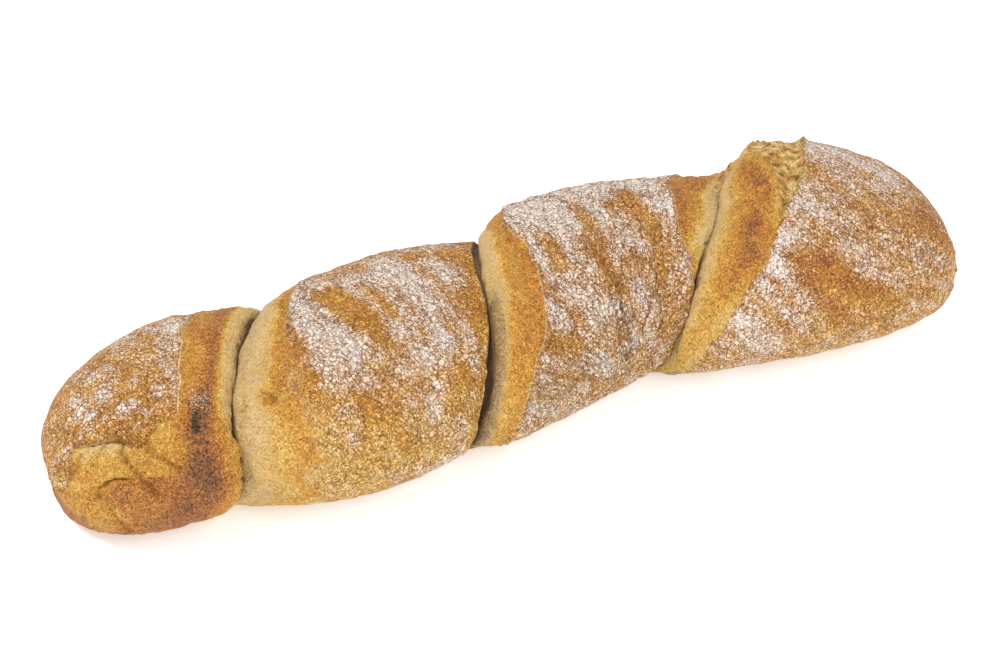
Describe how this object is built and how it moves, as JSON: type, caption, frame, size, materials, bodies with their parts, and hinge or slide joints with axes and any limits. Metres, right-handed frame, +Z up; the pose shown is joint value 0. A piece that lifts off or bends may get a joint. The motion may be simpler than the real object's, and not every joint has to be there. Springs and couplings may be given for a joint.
{
  "type": "bread loaf",
  "caption": "Rustic twisted bread loaf with a helical crease, swollen lobes, a floured crust and a flat base.",
  "frame": {"origin": "under the middle of the loaf's box, on the surface it rests on", "axes": "+X along the loaf from its blunter-cut near end to its wider far end, -Y towards the front, +Z up"},
  "size_m": [0.349, 0.1072, 0.0646],
  "materials": {
    "crust": "matt baked crust, golden brown, dusted with flour"
  },
  "bodies": {
    "root": {"loaf": "crust"}
  },
  "joints": []
}
